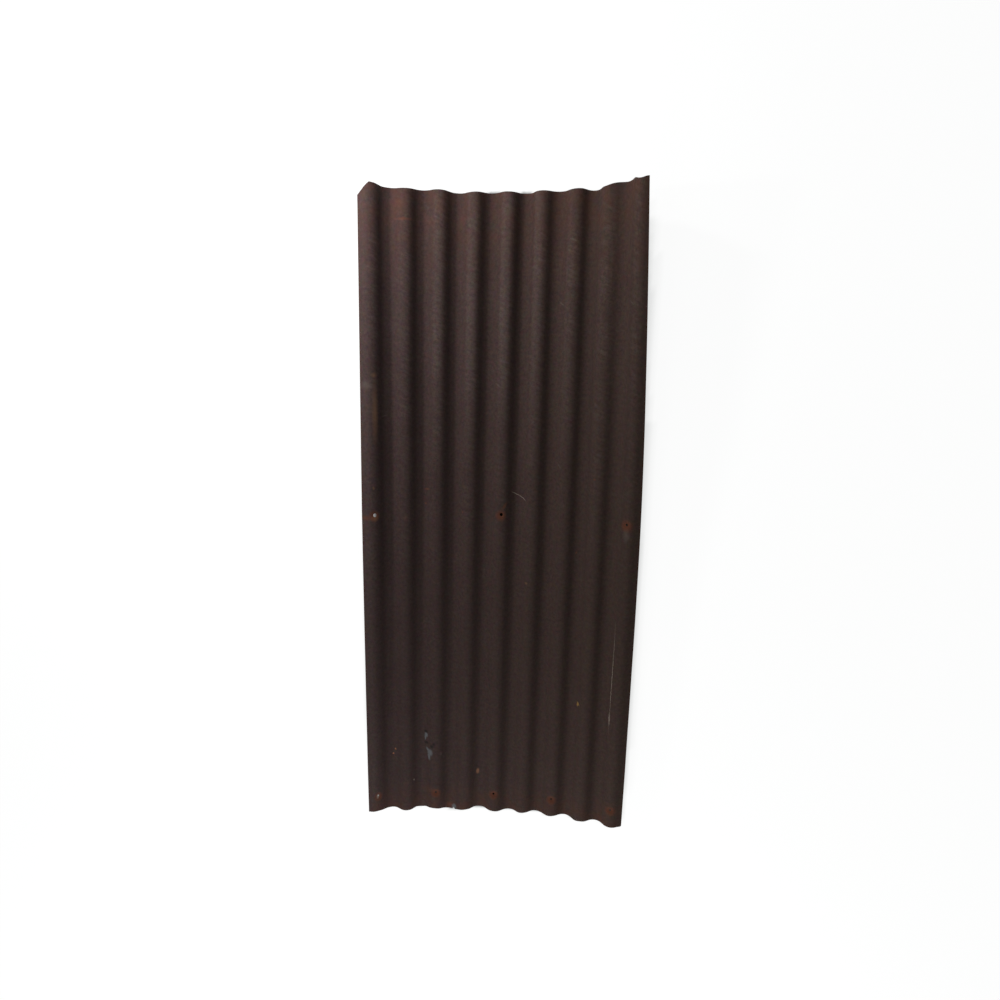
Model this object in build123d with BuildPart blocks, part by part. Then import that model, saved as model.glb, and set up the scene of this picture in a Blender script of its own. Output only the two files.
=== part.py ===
"""Corrugated roofing sheet: one rolled steel sheet, nailed through its crowns and curled up along both long edges.

Millimetres, +Z up. The sheet lies on the floor with its nailed face up. X runs across the waves and Y along them,
from the foot to the head. The origin is on the floor, under the middle of the sheet.
"""
import os
from math import atan, cos, degrees, radians, sin

from build123d import *

# The sheet, with its waves measured on the middle of its thickness
sheet_length = 1524.0
sheet_thickness = 0.8
wave_pitch = 76.2
wave_depth = 18.0
waves_each_side = 4
edge_overhang = 27.5

# Slope of the flanks, as a share of the slope that a wave of arcs alone would have
flank_slope_share = 0.83

# How far each wave turns the sheet upwards, in degrees, at the foot, at the middle nail row and at the head
foot_curl_angle = 3.7
middle_curl_angle = 6.6
head_left_curl_angle = 5.4
head_right_curl_angle = 13.0

# Nail holes through the crowns: each row's distance from the foot, and its step from one nailed crown to the next
nail_hole_diameter = 5.5
foot_row_inset = 50.0
foot_row_step = 2
middle_row_inset = 800.0
middle_row_step = 4

# Wear at the ends: the clipped left corner of the head, the rounded right corner of the foot and a nick in the foot
corner_clip_width = 28.0
corner_clip_length = 21.0
corner_round_radius = 4.0
nick_width = 7.0
nick_depth = 5.0
nick_place_share = 1.4  # in wave pitches to the left of the centre crown

# A wave of tangent arcs and straight flanks
half_pitch = wave_pitch / 2
flank_angle = flank_slope_share * 2 * degrees(atan(wave_depth / half_pitch))
flank_rise = sin(radians(flank_angle))
flank_run = cos(radians(flank_angle))
bend_radius = (half_pitch * flank_rise - wave_depth * flank_run) / (2 * (1 - flank_run))
flank_length = (half_pitch - 2 * bend_radius * flank_rise) / flank_run
edge_length = (edge_overhang - bend_radius * flank_rise) / flank_run
crown_height = sheet_thickness / 2 + wave_depth
foot_y = -sheet_length / 2
head_y = sheet_length / 2
middle_row_y = foot_y + middle_row_inset

# A side never rises higher than it is wide, so a cutter this tall goes right through
cutter_height = waves_each_side * wave_pitch + edge_overhang


def wave_line(side, curl, offset):
    """Draw one face of the sheet from the centre crown to an edge, and give the tops of its crowns and its end."""
    crown = JernArc((0, crown_height + offset), (side, 0), bend_radius + offset, -side * flank_angle)
    tops = [crown @ 0]
    for _ in range(waves_each_side):
        flank_down = PolarLine(crown @ 1, flank_length, direction=crown % 1)
        trough_turn = side * (2 * flank_angle + curl / 2)
        trough = JernArc(flank_down @ 1, flank_down % 1, bend_radius - offset, trough_turn)
        flank_up = PolarLine(trough @ 1, flank_length, direction=trough % 1)
        crown_turn = -side * (2 * flank_angle - curl / 2)
        crown = JernArc(flank_up @ 1, flank_up % 1, bend_radius + offset, crown_turn)
        tops.append(crown @ 0.5)
    edge = PolarLine(crown @ 1, edge_length, direction=crown % 1)
    return tops, edge @ 1


def cross_section(left_curl, right_curl):
    """Draw the closed outline of the sheet's section, and give the crown tops and the edge of each side."""
    sides = {}
    for side, curl in ((-1, left_curl), (1, right_curl)):
        tops, upper_end = wave_line(side, curl, sheet_thickness / 2)
        lower_end = wave_line(side, curl, -sheet_thickness / 2)[1]
        Line(upper_end, lower_end)
        sides[side] = (tops, upper_end)
    return sides


# The three sections that the sheet is ruled between
stations = (
    (foot_y, foot_curl_angle, foot_curl_angle),
    (middle_row_y, middle_curl_angle, middle_curl_angle),
    (head_y, head_left_curl_angle, head_right_curl_angle),
)

with BuildPart() as sheet:
    sections = []
    for station_y, left_curl, right_curl in stations:
        with BuildSketch(Plane.XZ.offset(-station_y)):
            with BuildLine():
                sections.append(cross_section(left_curl, right_curl))
            make_face()
    loft(ruled=True)
    foot_section, middle_section, head_section = sections

    # Nail holes, straight down through the crown tops
    nails = []
    foot_row_share = foot_row_inset / middle_row_inset
    for side in (-1, 1):
        foot_tops = foot_section[side][0]
        middle_tops = middle_section[side][0]
        first_crown = 0 if side > 0 else 1
        for k in range(first_crown, waves_each_side + 1):
            if k % foot_row_step == 0:
                top = foot_tops[k] + (middle_tops[k] - foot_tops[k]) * foot_row_share
                nails.append((top.X, foot_y + foot_row_inset, top.Y))
            if k % middle_row_step == 0:
                nails.append((middle_tops[k].X, middle_row_y, middle_tops[k].Y))
    with Locations(*nails):
        Hole(nail_hole_diameter / 2, wave_depth / 2)

    # The worn ends, cut in plan
    clipped_corner = head_section[-1][1]
    rounded_corner = foot_section[1][1]
    with BuildSketch():
        with Locations((clipped_corner.X, head_y)):
            Polygon(
                (-corner_clip_width, corner_clip_length),
                (-corner_clip_width, -2 * corner_clip_length),
                (2 * corner_clip_width, corner_clip_length),
                align=None,
            )
        with Locations((-nick_place_share * wave_pitch, foot_y)):
            Polygon(
                (-nick_width / 2, -nick_depth),
                (nick_width / 2, -nick_depth),
                (nick_width / 2, 0),
                (0, nick_depth),
                (-nick_width / 2, 0),
                align=None,
            )
        with Locations((rounded_corner.X - corner_round_radius, foot_y + corner_round_radius)):
            Rectangle(2 * corner_round_radius, 2 * corner_round_radius, align=(Align.MIN, Align.MAX))
            Circle(corner_round_radius, mode=Mode.SUBTRACT)
    extrude(amount=cutter_height, mode=Mode.SUBTRACT)

sheet.part.label = "corrugated_sheet"
os.makedirs("parts", exist_ok=True)
export_step(sheet.part, "parts/corrugated_sheet.step")
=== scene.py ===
# %% [markdown]
# # A corrugated roofing sheet
#
# The object is one steel sheet. A mill rolled it into waves, a painter coated it brown, and years of weather
# and rough handling curled up its long edges. This lesson makes it in the same order: a flat grid, nail
# holes, waves, curl, thickness, and then paint, rust and scratches. Everything is in metres, in the frame of
# the CAD model.

# %% Load the frame
from bisect import bisect_right
from functools import lru_cache
from math import atan, cos, degrees, inf, pi, radians, sin

import bmesh
import bpy
from mathutils import Euler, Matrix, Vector, noise
from mathutils.bvhtree import BVHTree


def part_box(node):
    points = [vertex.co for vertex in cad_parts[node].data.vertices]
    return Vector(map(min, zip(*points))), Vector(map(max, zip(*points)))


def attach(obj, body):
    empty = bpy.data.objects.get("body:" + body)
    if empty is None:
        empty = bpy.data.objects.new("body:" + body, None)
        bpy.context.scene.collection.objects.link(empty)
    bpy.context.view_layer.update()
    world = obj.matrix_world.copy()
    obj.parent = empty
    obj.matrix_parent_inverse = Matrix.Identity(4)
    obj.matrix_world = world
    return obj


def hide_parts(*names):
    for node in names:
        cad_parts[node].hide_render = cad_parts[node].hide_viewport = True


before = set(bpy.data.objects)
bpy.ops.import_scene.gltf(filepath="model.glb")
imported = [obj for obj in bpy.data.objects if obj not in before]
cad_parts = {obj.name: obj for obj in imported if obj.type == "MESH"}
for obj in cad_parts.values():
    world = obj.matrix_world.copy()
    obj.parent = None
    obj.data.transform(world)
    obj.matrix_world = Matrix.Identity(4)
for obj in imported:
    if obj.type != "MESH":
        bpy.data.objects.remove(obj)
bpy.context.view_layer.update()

# %% [markdown]
# ## The sizes of the sheet
#
# A wave is two arcs joined by straight flanks. It could be a sine curve, but a roll former bends arcs, and
# the straight flanks show in the light. The pitch, the depth and the flank's slope give the bend radius and
# the flank's length. The sheet's length comes from the frame.

# %% Sizes
MM = 0.001
SHEET = "corrugated_sheet"
low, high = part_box(SHEET)
FOOT_Y, HEAD_Y = low.y, high.y
LENGTH = HEAD_Y - FOOT_Y
THICKNESS = 0.8 * MM
PITCH = 76.2 * MM
DEPTH = 18.0 * MM
WAVES_EACH_SIDE = 4
EDGE_OVERHANG = 27.5 * MM

# The slope of a flank, as a share of the slope that a wave of arcs alone would have
FLANK_SLOPE_SHARE = 0.83
FLANK_ANGLE = FLANK_SLOPE_SHARE * 2 * atan(2 * DEPTH / PITCH)
BEND_RADIUS = (PITCH / 2 * sin(FLANK_ANGLE) - DEPTH * cos(FLANK_ANGLE)) / (2 * (1 - cos(FLANK_ANGLE)))
FLANK = (PITCH / 2 - 2 * BEND_RADIUS * sin(FLANK_ANGLE)) / cos(FLANK_ANGLE)
EDGE_FLANK = (EDGE_OVERHANG - BEND_RADIUS * sin(FLANK_ANGLE)) / cos(FLANK_ANGLE)
CROWN_HEIGHT = THICKNESS / 2 + DEPTH

# The steel in one wave and in half the sheet, measured along the bends
WAVE_GIRTH = 2 * FLANK + 4 * FLANK_ANGLE * BEND_RADIUS
HALF_GIRTH = FLANK_ANGLE * BEND_RADIUS + WAVES_EACH_SIDE * WAVE_GIRTH + EDGE_FLANK
print(f"bend radius {BEND_RADIUS / MM:.1f} mm, steel in a wave {WAVE_GIRTH / MM:.1f} mm")

# %% [markdown]
# ## The flat blank
#
# The blank is a plain grid, as wide as the steel is along its bends. X runs across the waves and Y is the
# distance from the foot, so a place on it is easy to name: so many waves from the centre crown, so far up.
# A grid that is already wavy would be shorter to make, but holes and cuts are simpler in a flat one.

# %% Flat blank
COLUMNS = 176
ROWS = 200
blank = bmesh.new()
bmesh.ops.create_grid(blank, x_segments=COLUMNS, y_segments=ROWS, size=1)
bmesh.ops.scale(blank, vec=(HALF_GIRTH, LENGTH / 2, 1), verts=blank.verts)
bmesh.ops.translate(blank, vec=(0, LENGTH / 2, 0), verts=blank.verts)
print("flat blank", len(blank.faces), "faces")

# %% [markdown]
# ## Nail holes
#
# The holes are punched while the sheet is flat, where a round hole is easy. The faces around it are divided,
# those inside it are deleted, and the rim is drawn onto a circle. A Boolean could do it too, but it would
# leave long thin faces around each hole. Pulling the nails tore two of the holes wider.

# %% Nail holes
NAIL_RADIUS = 2.75 * MM
HOLE_REACH = 4 * NAIL_RADIUS
HOLE_CUTS = 3
FOOT_ROW = 50 * MM
MIDDLE_ROW = 800 * MM
NAILS = [Vector((crown * WAVE_GIRTH, FOOT_ROW, 0)) for crown in (-4, -2, 0, 2, 4)]
NAILS += [Vector((crown * WAVE_GIRTH, MIDDLE_ROW, 0)) for crown in (-4, 0, 4)]

# Torn holes, by their number in the list: the radius, and how far the tear moved the centre
TORN_HOLES = {
    5: (4.3 * MM, Vector((1.0, -1.5, 0)) * MM),
    6: (3.8 * MM, Vector((1.0, 0, 0)) * MM),
}


def refine(centre, reach, cuts):
    """Divide the faces of the blank around a place, so that small shapes can be cut there."""
    near = [f for f in blank.faces if (f.calc_center_median() - centre).length < reach]
    edges = {e for f in near for e in f.edges}
    bmesh.ops.subdivide_edges(blank, edges=list(edges), cuts=cuts, use_grid_fill=True)


for number, nail in enumerate(NAILS):
    hole_radius, shift = TORN_HOLES.get(number, (NAIL_RADIUS, Vector()))
    hole = nail + shift
    refine(nail, HOLE_REACH, HOLE_CUTS)
    inside = [f for f in blank.faces if (f.calc_center_median() - hole).length < hole_radius]
    bmesh.ops.delete(blank, geom=inside, context="FACES")
    for v in blank.verts:
        if v.is_boundary and (v.co - hole).length < 2 * hole_radius:
            v.co = hole + (v.co - hole).normalized() * hole_radius
print(len(NAILS), "nail holes punched")

# %% [markdown]
# ## Worn corners
#
# The head's left corner was snipped off, the foot's right corner is worn round, and the foot edge has a torn
# nick. The corners are cut with planes, which leave clean edges, and the nick by deleting faces, which
# leaves a ragged one.


# %% Worn corners and the nick
def trim(corner, reach, point, outward):
    """Cut off what lies beyond a line near one corner of the blank."""
    faces = [f for f in blank.faces if (f.calc_center_median() - corner).length < reach]
    geometry = set(faces)
    for f in faces:
        geometry.update(f.edges)
        geometry.update(f.verts)
    bmesh.ops.bisect_plane(blank, geom=list(geometry), plane_co=point, plane_no=outward, clear_outer=True)


CLIP_WIDTH = 29 * MM
CLIP_LENGTH = 23 * MM
head_left = Vector((-HALF_GIRTH, LENGTH, 0))
clip_start = head_left + Vector((CLIP_WIDTH, 0, 0))
trim(head_left, 2 * CLIP_WIDTH, clip_start, Vector((-CLIP_LENGTH, CLIP_WIDTH, 0)))

ROUND_RADIUS = 4 * MM
ROUND_CUTS = 4
foot_right = Vector((HALF_GIRTH, 0, 0))
round_centre = foot_right + Vector((-ROUND_RADIUS, ROUND_RADIUS, 0))
for cut in range(ROUND_CUTS):
    turn = pi / 2 * (cut + 0.5) / ROUND_CUTS
    outward = Vector((sin(turn), -cos(turn), 0))
    trim(foot_right, 4 * ROUND_RADIUS, round_centre + outward * ROUND_RADIUS, outward)

NICK_WIDTH = 7 * MM
NICK_DEPTH = 5 * MM
NICK_WAVES = -1.4
NICK_CUTS = 4
nick = Vector((NICK_WAVES * WAVE_GIRTH, 0, 0))
refine(nick, 2 * NICK_WIDTH, NICK_CUTS)
torn = []
for face in blank.faces:
    beside_nick = face.calc_center_median() - nick
    if beside_nick.y < NICK_DEPTH * (1 - abs(beside_nick.x) / (NICK_WIDTH / 2)):
        torn.append(face)
bmesh.ops.delete(blank, geom=torn, context="FACES")
print("trimmed blank", len(blank.faces), "faces")

# %% [markdown]
# ## Rolling and curling
#
# A section is a row of runs, each of one curvature: crowns bend down, troughs bend up and flanks are
# straight. Where a trough bends a little more than a crown, the sheet turns upwards by that much at each
# wave, and its edge rises. The curl grows from the foot to the middle nails. Beyond them blows have bent the
# right side further, and its third wave is beaten open. A Simple Deform modifier could curl the sheet too,
# but it would stretch the steel, and it knows nothing of single waves.

# %% Curl along the sheet
FOOT_CURL = radians(3.7)
MIDDLE_CURL = radians(6.6)
HEAD_CURL = {-1: radians(5.4), 1: radians(6.6)}
CURL_EASE = 250 * MM

# What blows added to the turns of troughs and crowns, by side and wave: on the right at the head, on the
# left at the foot
BENT_TROUGHS = {(1, 1): radians(14), (1, 3): radians(12), (1, 4): radians(-11.5)}
BENT_CROWNS = {
    (1, 1): radians(-9), (1, 2): radians(-2), (1, 3): radians(13), (1, 4): radians(-3),
    (-1, 4): radians(24),
}


def eased(ahead, ease):
    """Zero before a place and rising straight after it, with the corner between rounded."""
    if ahead < -ease:
        return 0
    if ahead > ease:
        return ahead
    return (ahead + ease) ** 2 / (4 * ease)


def curl_at(from_foot, side):
    """The turn of one wave at a distance from the foot."""
    foot_slope = (MIDDLE_CURL - FOOT_CURL) / MIDDLE_ROW
    head_slope = (HEAD_CURL[side] - MIDDLE_CURL) / (LENGTH - MIDDLE_ROW)
    beyond_middle = eased(from_foot - MIDDLE_ROW, CURL_EASE)
    return FOOT_CURL + foot_slope * from_foot + (head_slope - foot_slope) * beyond_middle


def bending_at(from_foot, side):
    """How much of these blows a section shows, from 0 at the middle row to 1 at one end."""
    if side < 0:
        return eased(MIDDLE_ROW - from_foot, CURL_EASE) / MIDDLE_ROW
    return eased(from_foot - MIDDLE_ROW, CURL_EASE) / (LENGTH - MIDDLE_ROW)


print(f"a wave turns the sheet {degrees(curl_at(MIDDLE_ROW, 1)):.1f} degrees upwards at the middle row")


# %% Rolled section
def along_run(run, length):
    """The place and heading at a length along one run."""
    _, x, z, heading, curvature = run
    if curvature == 0:
        return x + length * cos(heading), z + length * sin(heading), heading
    turned = heading + curvature * length
    right = (sin(turned) - sin(heading)) / curvature
    down = (cos(turned) - cos(heading)) / curvature
    return x + right, z - down, turned


@lru_cache(maxsize=None)
def section_runs(side, curl, bending):
    """The runs of one side from the centre crown outwards: each one's start, heading and curvature."""
    trough_turn = 2 * FLANK_ANGLE + curl / 2
    crown_turn = 2 * FLANK_ANGLE - curl / 2
    shape = [(BEND_RADIUS * FLANK_ANGLE, -FLANK_ANGLE)]
    for crown in range(1, WAVES_EACH_SIDE + 1):
        trough_blow = bending * BENT_TROUGHS.get((side, crown), 0)
        crown_blow = bending * BENT_CROWNS.get((side, crown), 0)
        shape.append((FLANK, 0))
        shape.append((BEND_RADIUS * trough_turn, trough_turn + trough_blow))
        shape.append((FLANK, 0))
        shape.append((BEND_RADIUS * crown_turn, crown_blow - crown_turn))
    shape.append((EDGE_FLANK, 0))
    runs, girth, x, z, heading = [], 0.0, 0.0, CROWN_HEIGHT, 0.0
    for length, turn in shape:
        runs.append((girth, x, z, heading, turn / length))
        x, z, heading = along_run(runs[-1], length)
        girth += length
    return runs


def formed(girth, from_foot):
    """Where a place on the blank comes to lie once the sheet is rolled and curled, and its upward normal."""
    side = -1 if girth < 0 else 1
    curl = round(curl_at(from_foot, side), 6)
    bending = round(bending_at(from_foot, side), 6)
    runs = section_runs(side, curl, bending)
    run = runs[bisect_right(runs, (abs(girth), inf)) - 1]
    x, z, heading = along_run(run, abs(girth) - run[0])
    return Vector((side * x, FOOT_Y + from_foot, z)), Vector((-side * sin(heading), 0, cos(heading)))


print(f"right edge of the head stands {formed(HALF_GIRTH, LENGTH)[0].z / MM:.0f} mm above the floor")

# %% [markdown]
# ## Uneven cuts and dents
#
# A sheet is never quite true. Slow noise moves it by fractions of a millimetre, and each nail has pressed a
# shallow dimple. The ends were cut by hand: their lines wander, and beside the nick a tongue of steel stands
# out. The long edges were not trimmed quite along the waves either. Sculpting could give all this, but short
# lists of bumps can be read, changed and run again.

# %% Uneven cuts
CUT_WANDER = 0.8 * MM
CUT_WANDER_SIZE = 45 * MM
EDGE_REACH = 45 * MM
LEFT_TRIM = 1.7 * MM
LEFT_TRIM_AT_FOOT = 8.5 * MM
RIGHT_TRIM_AT_HEAD = 14 * MM
RIGHT_SPARE = 1.7 * MM

# Where a cut stands out (or falls short): waves from the centre crown, half width in waves, and mm
FOOT_CUT = [
    (-4.3, 0.6, -4.5), (-3.9, 0.35, -3), (-2.5, 0.2, 2.5), (-2.05, 0.25, -3), (-1.5, 0.35, 8.5),
    (-1.25, 0.3, 4.5), (0.25, 0.3, 2), (0.5, 0.35, 2.5), (1.15, 0.3, -2), (1.65, 0.25, 2),
    (2.15, 0.3, -2.5), (2.75, 0.3, 3.5), (4.6, 0.45, 5),
]
HEAD_CUT = [
    (-4.1, 0.5, 4), (-3.1, 0.5, -2.3), (-1.3, 0.7, -2.3), (2.5, 0.35, -3), (2.95, 0.5, -2),
    (3.25, 0.3, 2.5), (3.8, 0.6, 1.5), (4.1, 0.25, -3.2),
]


def uneven(cut, girth):
    """How far a cut end stands out beyond a straight line."""
    out = CUT_WANDER * noise.noise(Vector((girth / CUT_WANDER_SIZE, len(cut), 0)))
    for waves, half_width, amount in cut:
        beside = (girth / WAVE_GIRTH - waves) / half_width
        out += amount * MM * max(0, 1 - beside ** 2) ** 2
    return out


def edge_trim(girth, from_foot):
    """How far a trimmed long edge moves a place inwards: left towards the foot, right towards the head."""
    if girth < 0:
        trimmed = LEFT_TRIM + LEFT_TRIM_AT_FOOT * max(0, 1 - from_foot / MIDDLE_ROW)
        return trimmed * max(0, 1 - (girth + HALF_GIRTH) / EDGE_REACH)
    trimmed = RIGHT_TRIM_AT_HEAD * bending_at(from_foot, 1) - RIGHT_SPARE
    return -trimmed * max(0, 1 - (HALF_GIRTH - girth) / EDGE_REACH)


print(f"around the nick the foot stands out {uneven(FOOT_CUT, nick.x) / MM:.1f} mm")

# %% Rolled sheet
WANDER = 0.5 * MM
WANDER_SIZE = 140 * MM
DIMPLE_DEPTH = 2.0 * MM
DIMPLE_RADIUS = 11 * MM
CUT_REACH = 60 * MM

# The flat place and the wave are kept at each point, for the materials
flat_layer = blank.verts.layers.float_vector.new("flat")
wave_layer = blank.verts.layers.float.new("wave")
for v in blank.verts:
    flat_place = v.co.copy()
    v[flat_layer] = flat_place
    v[wave_layer] = cos(2 * pi * flat_place.x / WAVE_GIRTH)
    place, normal = formed(flat_place.x + edge_trim(flat_place.x, flat_place.y), flat_place.y)
    near_foot = max(0, 1 - flat_place.y / CUT_REACH)
    near_head = max(0, 1 - (LENGTH - flat_place.y) / CUT_REACH)
    head_out = near_head ** 2 * uneven(HEAD_CUT, flat_place.x)
    foot_out = near_foot ** 2 * uneven(FOOT_CUT, flat_place.x)
    place.y += head_out - foot_out
    offset = WANDER * noise.noise(flat_place / WANDER_SIZE)
    for nail in NAILS:
        beside = (flat_place - nail).length / DIMPLE_RADIUS
        if beside < 1:
            offset -= DIMPLE_DEPTH * (1 - beside ** 2) ** 2
    v.co = place + normal * offset
    v.co.z = max(v.co.z, THICKNESS / 2)
rolled = bpy.data.meshes.new("rolled_sheet")
blank.to_mesh(rolled)
blank.free()
print("rolled sheet", len(rolled.polygons), "faces")

# %% [markdown]
# ## Colours and nodes
#
# Colours are written as sRGB hex values, as a colour picker gives them, and turned to linear light once. One
# small function adds a node, sets it and links it. Pattern scales come from sizes in millimetres.


# %% Helpers for materials
def colour(code):
    """An sRGB hex colour as linear RGBA."""
    parts = [int(code[i:i + 2], 16) / 255 for i in (1, 3, 5)]
    linear = [c / 12.92 if c <= 0.04045 else ((c + 0.055) / 1.055) ** 2.4 for c in parts]
    return (*linear, 1)


def per_mm(size):
    """The scale of a pattern whose features are this many millimetres apart."""
    return 1 / (size * MM)


def add(tree, kind, values=None, **settings):
    """Add a node. Values go to its inputs by name or number: a socket is linked, anything else is set."""
    node = tree.nodes.new(kind)
    for name, value in settings.items():
        setattr(node, name, value)
    for key, value in (values or {}).items():
        if isinstance(value, bpy.types.NodeSocket):
            tree.links.new(value, node.inputs[key])
        else:
            node.inputs[key].default_value = value
    return node


def empty_material(name):
    """A new material with an empty node tree."""
    material = bpy.data.materials.new(name)
    material.use_nodes = True
    material.node_tree.nodes.clear()
    return material


print("middle grey in linear light", colour("#808080"))

# %% [markdown]
# ## Weathered brown paint
#
# The paint is a thin coat that has chalked in the sun. It is matt, so the eye reads the waves by light and
# shade alone, with hardly a highlight of its own. Layers give it its look: a slow mottle of warm and cool
# browns, a grey haze that also carries a painted sheen, a painted highlight on the middle crowns and a fine
# grain. A painted image could hold them, but noise stays sharp at any distance. All of it reads the flat
# blank's coordinates, so that it follows the surface around every wave.

# %% Paint: brown ground
paint = empty_material("weathered_brown_paint")
tree = paint.node_tree
flat = add(tree, "ShaderNodeAttribute", attribute_name="flat").outputs["Vector"]
wave = add(tree, "ShaderNodeAttribute", attribute_name="wave").outputs["Fac"]
axes = add(tree, "ShaderNodeSeparateXYZ", {"Vector": flat})
across, from_foot = axes.outputs["X"], axes.outputs["Y"]

mottle = add(tree, "ShaderNodeTexNoise", {"Vector": flat, "Scale": per_mm(70), "Detail": 6.0,
                                          "Roughness": 0.6})
ground = add(tree, "ShaderNodeMix", {"Factor": mottle.outputs["Fac"], "A": colour("#352827"),
                                     "B": colour("#413231")}, data_type="RGBA")

# The browns grow warmer towards the right
rightwards = add(tree, "ShaderNodeMapRange", {"Value": across, "From Min": -HALF_GIRTH,
                                              "From Max": HALF_GIRTH, "To Max": 0.6})
warmed = add(tree, "ShaderNodeMix", {"Factor": rightwards.outputs["Result"], "A": ground.outputs["Result"],
                                     "B": colour("#3d2f28")}, data_type="RGBA")
print("brown ground,", len(tree.nodes), "nodes so far")

# %% [markdown]
# Hands and rain have wiped a grey haze across the upper crowns, in short slanting strokes. How strongly it
# lies on the crowns, growing towards the head, is also a painted sheen: it lightens the crowns where the
# lamps near the head would make them shine. A Mapping node turns the flat coordinates and stretches noise
# into strokes 36 mm long. Slower noise breaks them into gusts.

# %% Paint: wiped haze and painted sheen
STROKE = (36 * MM, 8 * MM, 1)
STROKE_TURN = radians(-24)
HAZE_AND_SHEEN_BEGINS = 500 * MM
HAZE_AND_SHEEN_FULL = 1200 * MM
PALE_STRIP_WIDTH = 35 * MM
PALE_STRIP_FULL = 20 * MM
slant = add(tree, "ShaderNodeMapping", {"Vector": flat, "Rotation": (0, 0, STROKE_TURN), "Scale": STROKE},
            vector_type="TEXTURE")
wipes = add(tree, "ShaderNodeTexNoise", {"Vector": slant.outputs["Vector"], "Scale": 1.0, "Detail": 5.0,
                                         "Roughness": 0.65})
wipe_marks = add(tree, "ShaderNodeMapRange", {"Value": wipes.outputs["Fac"], "From Min": 0.42,
                                              "From Max": 0.72})
# Painted sheen: the haze is stronger on the crowns and grows towards the head
haze_and_sheen_on_crowns = add(tree, "ShaderNodeMapRange", {"Value": wave, "From Min": -0.2, "To Min": 0.12})
haze_and_sheen_towards_head = add(tree, "ShaderNodeMapRange", {"Value": from_foot, "From Min": HAZE_AND_SHEEN_BEGINS,
                                           "From Max": HAZE_AND_SHEEN_FULL, "To Min": 0.06, "To Max": 0.45})
gusts = add(tree, "ShaderNodeTexNoise", {"Vector": flat, "Scale": per_mm(120), "Detail": 2.0})
broken = add(tree, "ShaderNodeMapRange", {"Value": gusts.outputs["Fac"], "From Min": 0.35, "From Max": 0.65,
                                          "To Min": 0.25})
upper_gusts = add(tree, "ShaderNodeMath", {0: haze_and_sheen_towards_head.outputs["Result"], 1: broken.outputs["Result"]},
                  operation="MULTIPLY")
haze_and_sheen_here = add(tree, "ShaderNodeMath", {0: haze_and_sheen_on_crowns.outputs["Result"], 1: upper_gusts.outputs["Value"]},
                operation="MULTIPLY")
wiped_haze_and_sheen = add(tree, "ShaderNodeMath", {0: haze_and_sheen_here.outputs["Value"], 1: wipe_marks.outputs["Result"]},
            operation="MULTIPLY")

# A strip along the left edge is evenly paler
paler_left_strip = add(tree, "ShaderNodeMapRange", {"Value": across, "From Min": PALE_STRIP_WIDTH - HALF_GIRTH,
                                          "From Max": PALE_STRIP_FULL - HALF_GIRTH, "To Max": 0.16})
haze_sheen_or_pale_strip = add(tree, "ShaderNodeMath", {0: wiped_haze_and_sheen.outputs["Value"], 1: paler_left_strip.outputs["Result"]},
                      operation="MAXIMUM")
print("wiped haze,", len(tree.nodes), "nodes so far")

# %% [markdown]
# The middle crowns are painted palest near the head, a little to the left of their tops: a painted highlight
# where the lamps near the head catch them. A cosine of the place across the sheet finds the tops, and two
# ranges fade the effect out sideways and towards the foot.

# %% Paint: painted highlight on the crowns
LEFT_OF_TOP = 0.06
CROWN_HIGHLIGHT_CENTRE = -0.4 * WAVE_GIRTH
CROWN_HIGHLIGHT_ENDS = 3.4 * WAVE_GIRTH
CROWN_HIGHLIGHT_EVEN = 0.6 * WAVE_GIRTH
CROWN_HIGHLIGHT_BEGINS = 900 * MM
CROWN_HIGHLIGHT_FULL = 1250 * MM
phase = add(tree, "ShaderNodeMath", {0: across, 1: 2 * pi / WAVE_GIRTH, 2: 2 * pi * LEFT_OF_TOP},
            operation="MULTIPLY_ADD")
crest = add(tree, "ShaderNodeMath", {0: phase.outputs["Value"]}, operation="COSINE")
on_tops = add(tree, "ShaderNodeMapRange", {"Value": crest.outputs["Value"], "From Min": 0.4},
              interpolation_type="SMOOTHSTEP")
off_centre = add(tree, "ShaderNodeMath", {0: across, 1: CROWN_HIGHLIGHT_CENTRE}, operation="SUBTRACT")
aside_centre = add(tree, "ShaderNodeMath", {0: off_centre.outputs["Value"]}, operation="ABSOLUTE")
on_middle = add(tree, "ShaderNodeMapRange", {"Value": aside_centre.outputs["Value"], "From Min": CROWN_HIGHLIGHT_ENDS,
                                             "From Max": CROWN_HIGHLIGHT_EVEN, "To Max": 0.3})
towards_head = add(tree, "ShaderNodeMapRange", {"Value": from_foot, "From Min": CROWN_HIGHLIGHT_BEGINS,
                                                "From Max": CROWN_HIGHLIGHT_FULL})
middle_tops = add(tree, "ShaderNodeMath", {0: on_tops.outputs["Result"], 1: on_middle.outputs["Result"]},
                  operation="MULTIPLY")
# Painted highlight on the middle crowns near the head
painted_crown_highlight = add(tree, "ShaderNodeMath", {0: middle_tops.outputs["Value"], 1: towards_head.outputs["Result"]},
               operation="MULTIPLY")
# The haze with its painted sheen and the painted crown highlight lighten the brown together
haze_and_sheen = add(tree, "ShaderNodeMath", {0: haze_sheen_or_pale_strip.outputs["Value"], 1: painted_crown_highlight.outputs["Value"]},
           operation="ADD")
hazed_and_highlighted = add(tree, "ShaderNodeMix", {"Factor": haze_and_sheen.outputs["Value"], "A": warmed.outputs["Result"],
                                    "B": colour("#5a4c49")}, data_type="RGBA")
print("polished crowns,", len(tree.nodes), "nodes so far")

# %% [markdown]
# Up close, chalked paint is speckled: light and dark some millimetres apart, and warmer and cooler tints a
# little wider. One noise could give both, but then every light speck would have the same tint.

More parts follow.
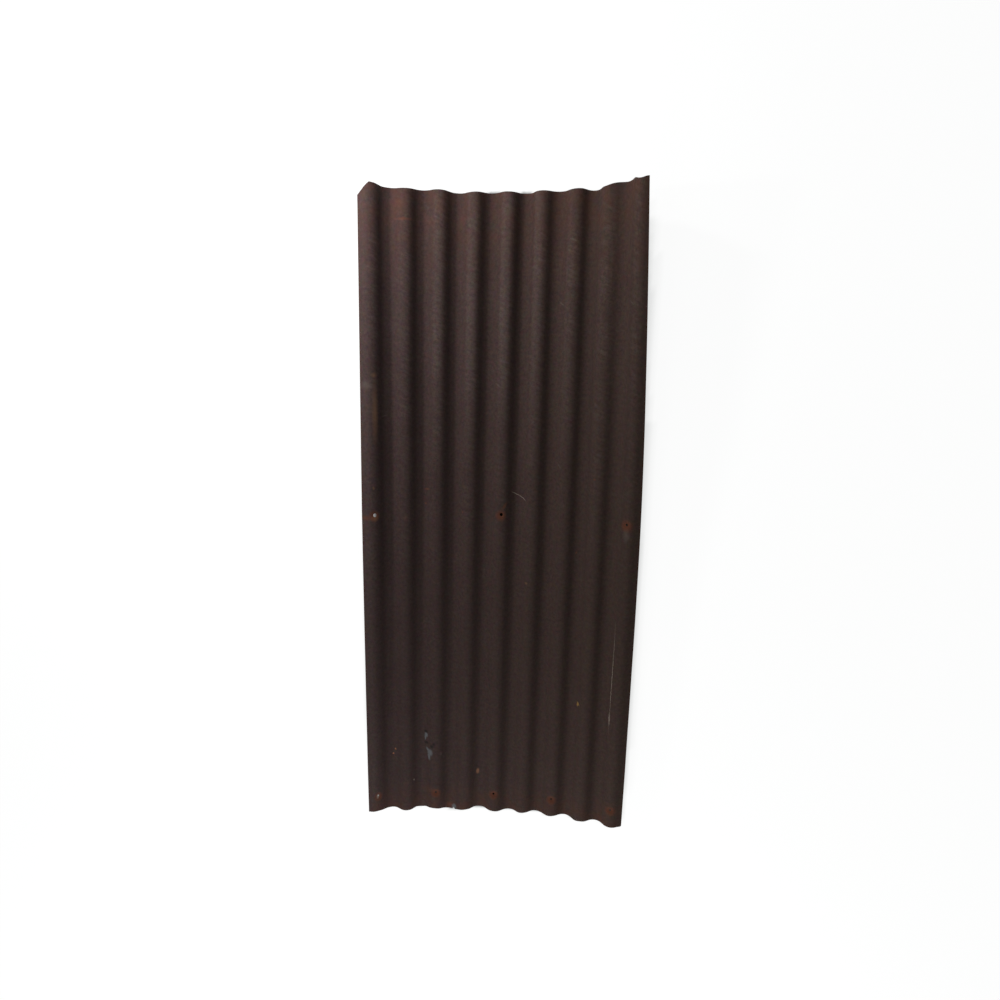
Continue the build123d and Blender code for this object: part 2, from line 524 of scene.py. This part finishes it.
# %% Paint: grain
grain = add(tree, "ShaderNodeTexNoise", {"Vector": flat, "Scale": per_mm(7), "Detail": 4.0,
                                         "Roughness": 0.75})
grain_tone = add(tree, "ShaderNodeMapRange", {"Value": grain.outputs["Fac"], "From Min": 0.25,
                                              "From Max": 0.75, "To Min": 0.68, "To Max": 1.32})
toned = add(tree, "ShaderNodeMix", {"Factor": 1.0, "A": hazed_and_highlighted.outputs["Result"],
                                    "B": grain_tone.outputs["Result"]},
            data_type="RGBA", blend_type="MULTIPLY")
hues = add(tree, "ShaderNodeTexNoise", {"Vector": flat, "Scale": per_mm(12), "Detail": 3.0,
                                        "Roughness": 0.7})

# Inputs 7 to 10 are the ends of the vector range, first what comes in and then what goes out
hue_tone = add(tree, "ShaderNodeMapRange",
               {"Vector": hues.outputs["Color"], 7: (0.3, 0.3, 0.3), 8: (0.7, 0.7, 0.7),
                9: (0.86, 0.86, 0.86), 10: (1.14, 1.14, 1.14)}, data_type="FLOAT_VECTOR")
grained = add(tree, "ShaderNodeMix", {"Factor": 1.0, "A": toned.outputs["Result"],
                                      "B": hue_tone.outputs["Vector"]},
              data_type="RGBA", blend_type="MULTIPLY")
print("grain,", len(tree.nodes), "nodes so far")

# %% [markdown]
# ## Rust and marks
#
# Rust starts where steel is bare: around the nails, along the cut ends and at chips. Towards the ends it
# blooms through the paint in patches. A smooth fade would look sprayed on, so there noise decides where it
# shows.

# %% Paint: rust blooms at the ends
HEAD_BLOOM = 220 * MM
FOOT_BLOOM = 80 * MM
EDGE_BLOOM = 5 * MM
patches = add(tree, "ShaderNodeTexNoise", {"Vector": flat, "Scale": per_mm(38), "Detail": 5.0,
                                           "Roughness": 0.6})
patchy = add(tree, "ShaderNodeMapRange", {"Value": patches.outputs["Fac"], "From Min": 0.38,
                                          "From Max": 0.7})
at_head = add(tree, "ShaderNodeMapRange", {"Value": from_foot, "From Min": LENGTH - HEAD_BLOOM,
                                           "From Max": LENGTH, "To Max": 0.35})
at_foot = add(tree, "ShaderNodeMapRange", {"Value": from_foot, "From Min": FOOT_BLOOM, "From Max": 0.0,
                                           "To Max": 0.45})
at_ends = add(tree, "ShaderNodeMath", {0: at_head.outputs["Result"], 1: at_foot.outputs["Result"]},
              operation="ADD")
end_bloom = add(tree, "ShaderNodeMath", {0: at_ends.outputs["Value"], 1: patchy.outputs["Result"]},
                operation="MULTIPLY")
aside = add(tree, "ShaderNodeMath", {0: across}, operation="ABSOLUTE")
at_edges = add(tree, "ShaderNodeMapRange", {"Value": aside.outputs["Value"],
                                            "From Min": HALF_GIRTH - EDGE_BLOOM, "From Max": HALF_GIRTH,
                                            "To Max": 0.35})
bloom = add(tree, "ShaderNodeMath", {0: end_bloom.outputs["Value"], 1: at_edges.outputs["Result"]},
            operation="MAXIMUM")
bloomed = add(tree, "ShaderNodeMix", {"Factor": bloom.outputs["Value"], "A": grained.outputs["Result"],
                                      "B": colour("#56301f")}, data_type="RGBA")
print("rust blooms,", len(tree.nodes), "nodes so far")

# %% [markdown]
# Single marks could be painted by hand on an image. Here each one is an ellipse on the blank, placed by its
# wave and its distance from the foot, so a mark can be moved by changing a number. Noise frays the outlines.

# %% Marks
# Each mark: waves from the centre crown, mm from the foot, half width and half length in mm, and its turn
# in degrees
RING_RADIUS = 11
RING_DROP = 3
RUST_RINGS = [(nail.x / WAVE_GIRTH, nail.y / MM - RING_DROP, RING_RADIUS, RING_RADIUS, 0) for nail in NAILS]
RUST_SPOTS = [
    (-1.52, 8, 9, 6, 0), (-4.25, 792, 13, 5, 0), (0.1, 821, 3, 8, -35), (-2.35, 857, 7, 2, 0),
    (-2.39, 822, 2, 2, 0), (2.94, 898, 3, 2, 0), (2.43, 714, 2, 2, 0), (-1.22, 802, 2, 2, 0),
    (-3.05, 1459, 17, 2.5, 0),
]
RUST_SMUDGES = [
    (-3.15, 1494, 18, 18, 0), (-2.31, 1459, 12, 9, 0), (-1.36, 1465, 9, 12, 0), (4.02, 798, 13, 13, 0),
    (-3.02, 790, 5, 6, 0), (-3.03, 78, 4, 5, 0), (-2.25, 53, 15, 8, 0),
]
OCHRE_STREAKS = [
    (-3.95, 1037, 5, 44, 0), (-3.97, 1121, 5, 4, 0), (-4.02, 864, 2, 3, 0), (0.89, 630, 3, 2, 0),
    (-3.99, 791, 6, 5, 0),
]
ORANGE_DOTS = [(-3.38, 172, 2, 2, 0), (-3.45, 159, 2, 2.4, 0)]
CLAY_SPLASHES = [(-0.57, 104, 3.8, 7, 0)]
TAN_FLECKS = [(2.74, 325, 2.2, 5, 50), (2.715, 321, 2, 4.5, 10)]
BARE_ZINC = [
    (-2.35, 209, 4.5, 6, 0), (-2.38, 201, 2.2, 6, 0), (-2.29, 169, 6, 4, -40), (-2.21, 162, 7.5, 9, 0),
    (-2.24, 150, 3.8, 9, 8), (-1.38, 5, 6, 6, 0),
]
PALE_SCRATCHES = [
    (3.81, 408, 0.9, 117, -0.7), (3.79, 300, 2.6, 14, 0), (0.46, 849, 0.8, 10, 66), (0.65, 841, 0.8, 11, 60),
    (-2.76, 84, 2, 2, 0), (-4.025, 47.5, 3.6, 5, 0),
]
PALE_WISPS = [
    (2.0, 1421, 1.4, 7, 70), (1.67, 1289, 1.4, 7, 60), (3.88, 1285, 1.4, 7, 60), (-0.19, 1106, 1.4, 6, 60),
    (1.78, 924, 1.4, 7, 50), (4.0, 775, 6, 12, 0), (-4.2, 1099, 11, 8, 0), (-3.64, 1029, 7, 1.2, 15),
    (-1.85, 160, 2, 4, 0),
]
# Painted shade: two long dark lines on the bent right waves towards the head stand in for their shading
BENT_WAVE_SHADE_LINES = [(2.65, 1120, 6, 430, 0.8), (3.87, 1050, 6, 480, 0.35)]
DARK_SPECKS = [
    (-2.355, 219, 5, 4, 0), (-2.14, 181, 5, 3.5, 0), (-2.08, 188, 3.5, 3.5, 0), (-2.34, 187, 5, 3, 0),
    (-1.36, 0, 4, 3, 0),
]
print(len(RUST_RINGS), "rust rings and", len(RUST_SPOTS), "rust spots")

# %% Frayed outlines
FRAY = 5 * MM
fray = add(tree, "ShaderNodeTexNoise", {"Vector": flat, "Scale": per_mm(5), "Detail": 3.0})
fray_centred = add(tree, "ShaderNodeVectorMath", {0: fray.outputs["Color"], 1: (0.5, 0.5, 0.5)},
                   operation="SUBTRACT")
fray_small = add(tree, "ShaderNodeVectorMath", {0: fray_centred.outputs["Vector"], "Scale": FRAY},
                 operation="SCALE")
frayed = add(tree, "ShaderNodeVectorMath", {0: flat, 1: fray_small.outputs["Vector"]}, operation="ADD")
frayed_flat = add(tree, "ShaderNodeVectorMath", {0: frayed.outputs["Vector"], 1: (1, 1, 0)},
                  operation="MULTIPLY")


def cover(tree, place, marks, softness):
    """How far the nearest of these marks covers a place: 1 inside it, fading to 0 over its soft rim."""
    nearest = None
    for waves, height, half_width, half_length, turn in marks:
        centre = (waves * WAVE_GIRTH, height * MM, 0)
        ellipse = add(tree, "ShaderNodeMapping",
                      {"Vector": place, "Location": centre, "Rotation": (0, 0, radians(turn)),
                       "Scale": (half_width * MM, half_length * MM, 1)}, vector_type="TEXTURE")
        distance = add(tree, "ShaderNodeVectorMath", {0: ellipse.outputs["Vector"]}, operation="LENGTH")
        if nearest is None:
            nearest = distance.outputs["Value"]
        else:
            closer = add(tree, "ShaderNodeMath", {0: nearest, 1: distance.outputs["Value"]},
                         operation="MINIMUM")
            nearest = closer.outputs["Value"]
    faded = add(tree, "ShaderNodeMapRange", {"Value": nearest, "From Min": 1 + softness,
                                             "From Max": 1 - softness})
    return faded.outputs["Result"]


frayed_place = frayed_flat.outputs["Vector"]
rings = cover(tree, frayed_place, RUST_RINGS, 0.45)
bare = cover(tree, frayed_place, BARE_ZINC, 0.4)
print("frayed outlines,", len(tree.nodes), "nodes so far")

# %% Paint: layers of marks
# Each layer: where it lies, how strongly it covers, and its colour
layers = [
    # Painted shade along the bent right waves
    (cover(tree, frayed_place, BENT_WAVE_SHADE_LINES, 0.9), 0.3, "#2b211e"),
    (cover(tree, frayed_place, RUST_SMUDGES, 0.9), 0.17, "#6a3c2c"),
    (rings, 0.75, "#5d3526"),
    (cover(tree, frayed_place, RUST_SPOTS, 0.7), 0.5, "#653b2a"),
    (cover(tree, frayed_place, OCHRE_STREAKS, 0.9), 0.45, "#7a5840"),
    (cover(tree, frayed_place, ORANGE_DOTS, 0.5), 0.9, "#9a6446"),
    (cover(tree, frayed_place, CLAY_SPLASHES, 0.4), 0.9, "#7e5846"),
    (cover(tree, frayed_place, TAN_FLECKS, 0.4), 0.9, "#8a6b3e"),
    (bare, 0.9, "#606063"),
    (cover(tree, frayed_place, PALE_SCRATCHES, 0.5), 0.45, "#a3958a"),
    (cover(tree, frayed_place, PALE_WISPS, 0.7), 0.07, "#a79c92"),
    (cover(tree, frayed_place, DARK_SPECKS, 0.5), 0.8, "#1b1917"),
]
covered = bloomed.outputs["Result"]
for area, strength, tint in layers:
    share = add(tree, "ShaderNodeMath", {0: area, 1: strength}, operation="MULTIPLY")
    layer = add(tree, "ShaderNodeMix", {"Factor": share.outputs["Value"], "A": covered, "B": colour(tint)},
                data_type="RGBA")
    covered = layer.outputs["Result"]
print(len(layers), "layers of marks,", len(tree.nodes), "nodes so far")

# %% [markdown]
# The surface itself is dull: chalked paint has a roughness of 0.85, and rust a little more. Its highlight is
# weaker than a new coat's, because chalk scatters the light. The grain and the haze with its painted sheen
# also stand up a little.

# %% Paint: surface
GRAIN_HEIGHT = 0.3 * MM
rusty = add(tree, "ShaderNodeMath", {0: rings, 1: bloom.outputs["Value"]}, operation="MAXIMUM")
dullness = add(tree, "ShaderNodeMapRange", {"Value": rusty.outputs["Value"], "To Min": 0.85, "To Max": 0.95})
relief = add(tree, "ShaderNodeMath", {0: grain.outputs["Fac"], 1: haze_and_sheen.outputs["Value"]}, operation="ADD")
bump = add(tree, "ShaderNodeBump", {"Height": relief.outputs["Value"], "Strength": 0.35,
                                    "Distance": GRAIN_HEIGHT})
metal_share = add(tree, "ShaderNodeMath", {0: bare, 1: 0.1}, operation="MULTIPLY")
paint_surface = add(tree, "ShaderNodeBsdfPrincipled",
                    {"Base Color": covered, "Roughness": dullness.outputs["Result"],
                     "Metallic": metal_share.outputs["Value"], "Specular IOR Level": 0.1,
                     "Normal": bump.outputs["Normal"]})
add(tree, "ShaderNodeOutputMaterial", {"Surface": paint_surface.outputs["BSDF"]})
print("paint,", len(tree.nodes), "nodes in all")

# %% [markdown]
# ## Underside and cut edge
#
# The photo doesn't show the underside. It is taken to be as the mill made it: hot-dipped zinc, whose
# crystals show as spangles, dulled by white bloom. To the eye it is a soft metallic grey in which patches
# stand apart from each other. Noise would give soft clouds, as it does for the bloom. Voronoi cells have
# hard borders like crystals, which also grow from seeds until they meet.

# %% Weathered zinc
zinc = empty_material("weathered_zinc")
tree = zinc.node_tree
flat = add(tree, "ShaderNodeAttribute", attribute_name="flat").outputs["Vector"]
spangle = add(tree, "ShaderNodeTexVoronoi", {"Vector": flat, "Scale": per_mm(14)})
grey = add(tree, "ShaderNodeSeparateColor", {"Color": spangle.outputs["Color"]})
crystals = add(tree, "ShaderNodeMix", {"Factor": grey.outputs["Red"], "A": colour("#858b8e"),
                                       "B": colour("#a3a9ab")}, data_type="RGBA")
clouds = add(tree, "ShaderNodeTexNoise", {"Vector": flat, "Scale": per_mm(55), "Detail": 6.0,
                                          "Roughness": 0.65})
clouding = add(tree, "ShaderNodeMapRange", {"Value": clouds.outputs["Fac"], "From Min": 0.42,
                                            "From Max": 0.68, "To Max": 0.8})
bloomed_zinc = add(tree, "ShaderNodeMix", {"Factor": clouding.outputs["Result"],
                                           "A": crystals.outputs["Result"], "B": colour("#b9bbb6")},
                   data_type="RGBA")
dull = add(tree, "ShaderNodeMapRange", {"Value": clouding.outputs["Result"], "To Min": 0.4, "To Max": 0.75})
bare_metal = add(tree, "ShaderNodeMapRange", {"Value": clouding.outputs["Result"], "To Min": 0.9,
                                              "To Max": 0.2})
print("zinc,", len(tree.nodes), "nodes so far")

# %% [markdown]
# Rust creeps over the zinc from the cut edges and from the nail holes, where the steel is bare. The nearness
# of a cut and a noise are added, so the rust's rim wanders in and out.

# %% Weathered zinc: creeping rust
CREEP_AT_EDGES = 15 * MM
CREEP_AT_ENDS = 45 * MM
from_middle = add(tree, "ShaderNodeVectorMath", {0: flat, 1: (0, LENGTH / 2, 0)}, operation="SUBTRACT")
outwards = add(tree, "ShaderNodeVectorMath", {0: from_middle.outputs["Vector"]}, operation="ABSOLUTE")
creep = add(tree, "ShaderNodeMapRange",
            {"Vector": outwards.outputs["Vector"],
             7: (HALF_GIRTH - CREEP_AT_EDGES, LENGTH / 2 - CREEP_AT_ENDS, 0),
             8: (HALF_GIRTH, LENGTH / 2, 1)}, data_type="FLOAT_VECTOR")
creep_axes = add(tree, "ShaderNodeSeparateXYZ", {"Vector": creep.outputs["Vector"]})
from_cuts = add(tree, "ShaderNodeMath", {0: creep_axes.outputs["X"], 1: creep_axes.outputs["Y"]},
                operation="MAXIMUM")
stains = add(tree, "ShaderNodeTexNoise", {"Vector": flat, "Scale": per_mm(20), "Detail": 5.0,
                                          "Roughness": 0.65})
stain_edge = add(tree, "ShaderNodeMath", {0: from_cuts.outputs["Value"], 1: stains.outputs["Fac"]},
                 operation="ADD")
stained = add(tree, "ShaderNodeMapRange", {"Value": stain_edge.outputs["Value"], "From Min": 0.75,
                                           "From Max": 1.2})
at_nails = cover(tree, flat, RUST_RINGS, 0.6)
rusted = add(tree, "ShaderNodeMath", {0: stained.outputs["Result"], 1: at_nails}, operation="MAXIMUM")
rusted_zinc = add(tree, "ShaderNodeMix", {"Factor": rusted.outputs["Value"],
                                          "A": bloomed_zinc.outputs["Result"], "B": colour("#6b4733")},
                  data_type="RGBA")
metal_left = add(tree, "ShaderNodeMath", {0: bare_metal.outputs["Result"], 1: rusted.outputs["Value"]},
                 operation="SUBTRACT", use_clamp=True)
zinc_surface = add(tree, "ShaderNodeBsdfPrincipled",
                   {"Base Color": rusted_zinc.outputs["Result"], "Roughness": dull.outputs["Result"],
                    "Metallic": metal_left.outputs["Value"]})
add(tree, "ShaderNodeOutputMaterial", {"Surface": zinc_surface.outputs["BSDF"]})
print("zinc,", len(tree.nodes), "nodes in all")

# %% [markdown]
# The cut edges are sheared steel without zinc or paint, so they are rusty all along. To the eye they are a
# thin dark line around the sheet, rough and reddish, which needs no more than two browns and a noise.

# %% Rusty cut edge
cut_edge = empty_material("rusty_cut_edge")
tree = cut_edge.node_tree
flat = add(tree, "ShaderNodeAttribute", attribute_name="flat").outputs["Vector"]
flakes = add(tree, "ShaderNodeTexNoise", {"Vector": flat, "Scale": per_mm(9), "Detail": 4.0})
rust = add(tree, "ShaderNodeMix", {"Factor": flakes.outputs["Fac"], "A": colour("#33241f"),
                                   "B": colour("#5a3626")}, data_type="RGBA")
edge_surface = add(tree, "ShaderNodeBsdfPrincipled", {"Base Color": rust.outputs["Result"],
                                                      "Roughness": 0.85, "Specular IOR Level": 0.3})
add(tree, "ShaderNodeOutputMaterial", {"Surface": edge_surface.outputs["BSDF"]})
print("cut edge,", len(tree.nodes), "nodes in all")

# %% [markdown]
# ## Thickness
#
# The skin could be extruded by hand, but Solidify gives it an even 0.8 mm of steel around every bend, and
# its material offsets put zinc on the underside and rust on the rim. The result is kept as a plain mesh.

# %% Solid sheet
SHARP_ANGLE = radians(45)
sheet = bpy.data.objects.new("sheet", rolled)
bpy.context.scene.collection.objects.link(sheet)
for material in (paint, zinc, cut_edge):
    rolled.materials.append(material)
for polygon in rolled.polygons:
    polygon.use_smooth = True
thicken = sheet.modifiers.new("steel", "SOLIDIFY")
thicken.thickness = THICKNESS
thicken.offset = 0
thicken.use_even_offset = True
thicken.material_offset = 1
thicken.material_offset_rim = 2
bpy.context.view_layer.update()
whole = bpy.data.meshes.new_from_object(sheet.evaluated_get(bpy.context.evaluated_depsgraph_get()))
sheet.modifiers.clear()
sheet.data = whole
whole.set_sharp_from_angle(angle=SHARP_ANGLE)
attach(sheet, "root")
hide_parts(SHEET)
print("sheet", len(whole.polygons), "faces")

# %% [markdown]
# ## Stage
#
# The sheet lies on a plain white floor. The floor glows for the camera and for mirrored rays alone, so it
# reads as white without lighting the sheet. An even glow would be simpler, but it would wash out the shadow
# beneath the sheet, and a nail hole should look into the dark. So every point of the floor looks up along 24
# rays at an imagined soft lamp, which leans to the head as the lamps do. The share of them that passes the
# sheet is kept in an attribute. It scales the glow and darkens the floor's own colour from white to a dark
# grey: a painted shadow under the sheet.

# %% Floor
NEAR_HALF_WIDTH = 0.6
NEAR_HALF_LENGTH = 1.1
FLOOR_COLUMNS = 101
FLOOR_ROWS = 181
FAR_SCALE = 8
HEADWARDS = Vector((0, 0.3, 1))
LEANS = (0.14, 0.26, 0.38)
DIRECTIONS = [Vector((cos(pi / 4 * step), sin(pi / 4 * step), 0)) for step in range(8)]
OVERHEAD = [HEADWARDS + lean * direction for lean in LEANS for direction in DIRECTIONS]
floor_bm = bmesh.new()
bmesh.ops.create_grid(floor_bm, x_segments=FLOOR_COLUMNS, y_segments=FLOOR_ROWS, size=1)
bmesh.ops.scale(floor_bm, vec=(NEAR_HALF_WIDTH, NEAR_HALF_LENGTH, 1), verts=floor_bm.verts)
rim = [e for e in floor_bm.edges if e.is_boundary]
spread = bmesh.ops.extrude_edge_only(floor_bm, edges=rim)["geom"]
far_verts = [item for item in spread if isinstance(item, bmesh.types.BMVert)]
bmesh.ops.scale(floor_bm, vec=(FAR_SCALE, FAR_SCALE, 1), verts=far_verts)

sheet_above = BVHTree.FromObject(sheet, bpy.context.evaluated_depsgraph_get())
open_layer = floor_bm.verts.layers.float.new("open")
for v in floor_bm.verts:
    open_rays = [ray for ray in OVERHEAD if sheet_above.ray_cast(v.co, ray)[0] is None]
    v[open_layer] = len(open_rays) / len(OVERHEAD)
floor_mesh = bpy.data.meshes.new("floor")
floor_bm.to_mesh(floor_mesh)
floor_bm.free()
floor = bpy.data.objects.new("floor", floor_mesh)
bpy.context.scene.collection.objects.link(floor)
print("floor", len(floor_mesh.vertices), "points")


# %% White floor
def seen_directly(tree):
    """1 where the camera, a mirror or glass looks, and 0 for the light that reaches matt surfaces."""
    path = add(tree, "ShaderNodeLightPath").outputs
    mirrored = add(tree, "ShaderNodeMath", {0: path["Is Glossy Ray"], 1: path["Is Transmission Ray"]},
                   operation="MAXIMUM")
    direct = add(tree, "ShaderNodeMath", {0: path["Is Camera Ray"], 1: mirrored.outputs["Value"]},
                 operation="MAXIMUM")
    return direct.outputs["Value"]


# Matt white card: no sheen, so the eye sees nothing of it but the soft shadow, partly real and partly
# painted
white = empty_material("white_floor")
tree = white.node_tree
openness = add(tree, "ShaderNodeAttribute", attribute_name="open").outputs["Fac"]
# Painted shadow: where the sheet covers the floor, the glow fades and the floor's colour darkens
open_glow = add(tree, "ShaderNodeMapRange", {"Value": openness, "From Min": 0.15, "To Max": 0.88})
open_shade = add(tree, "ShaderNodeMapRange", {"Value": openness, "From Min": 0.1, "From Max": 0.7})
glow_here = add(tree, "ShaderNodeMath", {0: seen_directly(tree), 1: open_glow.outputs["Result"]},
                operation="MULTIPLY")
shade = add(tree, "ShaderNodeMix", {"Factor": open_shade.outputs["Result"], "A": colour("#3c3836"),
                                    "B": colour("#f2f2f2")}, data_type="RGBA")
matt = add(tree, "ShaderNodeBsdfDiffuse", {"Color": shade.outputs["Result"]})
glow = add(tree, "ShaderNodeEmission", {"Color": colour("#ffffff"), "Strength": 1.07})
mixed = add(tree, "ShaderNodeMixShader", {0: glow_here.outputs["Value"], 1: matt.outputs["BSDF"],
                                          2: glow.outputs["Emission"]})
add(tree, "ShaderNodeOutputMaterial", {"Surface": mixed.outputs["Shader"]})
floor_mesh.materials.append(white)
print("white floor,", len(tree.nodes), "nodes")

# %% [markdown]
# ## Light
#
# Two lamps on the left near the head do most of the work: every left flank is bright, every right flank
# dark, and the light falls away towards the foot. The sky fills in evenly, and a lamp far beyond the foot
# lifts that end. One large lamp would be simpler, but it would light both ends alike.

# %% World
FILL = 0.216
BACKDROP = 0.96
world = bpy.data.worlds.new("studio")
bpy.context.scene.world = world
world.use_nodes = True
tree = world.node_tree
tree.nodes.clear()
direct = seen_directly(tree)
sky_strength = add(tree, "ShaderNodeMapRange", {"Value": direct, "To Min": FILL, "To Max": BACKDROP})
tone = add(tree, "ShaderNodeMix", {"Factor": direct, "A": colour("#e4f3ec"), "B": colour("#ffffff")},
           data_type="RGBA")
sky = add(tree, "ShaderNodeBackground", {"Color": tone.outputs["Result"],
                                         "Strength": sky_strength.outputs["Result"]})
add(tree, "ShaderNodeOutputWorld", {"Surface": sky.outputs["Background"]})
print("sky fills in at", FILL)


# %% Lamps
def lamp(name, place, radius, power):
    """A soft round lamp that is not seen itself."""
    light = bpy.data.lights.new(name, "POINT")
    light.shadow_soft_size = radius
    light.energy = power
    holder = bpy.data.objects.new(name, light)
    holder.location = place
    holder.visible_camera = False
    bpy.context.scene.collection.objects.link(holder)
    print(name, power, "W")


lamp("head_light", place=(-0.47, 1.06, 0.5), radius=0.05, power=18.4)
lamp("window", place=(-0.84, 0.62, 0.57), radius=0.05, power=18)
lamp("foot_light", place=(-0.2, -2.0, 0.87), radius=0.2, power=76)

# %% [markdown]
# ## Camera
#
# The camera is above the sheet, nearer its head, and looks slightly down its length through a wide lens. Its
# place was fitted to the crowns, ends and nail holes, so that they fall where the photo has them.

# %% Camera
camera_data = bpy.data.cameras.new("camera")
camera_data.lens = 22.73
camera_data.sensor_width = 36
camera = bpy.data.objects.new("camera", camera_data)
camera.location = (0.0808, 0.3546, 1.5008)
camera.rotation_euler = Euler((radians(-10.63), radians(3.508), radians(1.473)))
bpy.context.scene.collection.objects.link(camera)
bpy.context.scene.camera = camera
bpy.context.scene.view_settings.view_transform = "Standard"
print("camera", camera_data.lens, "mm")
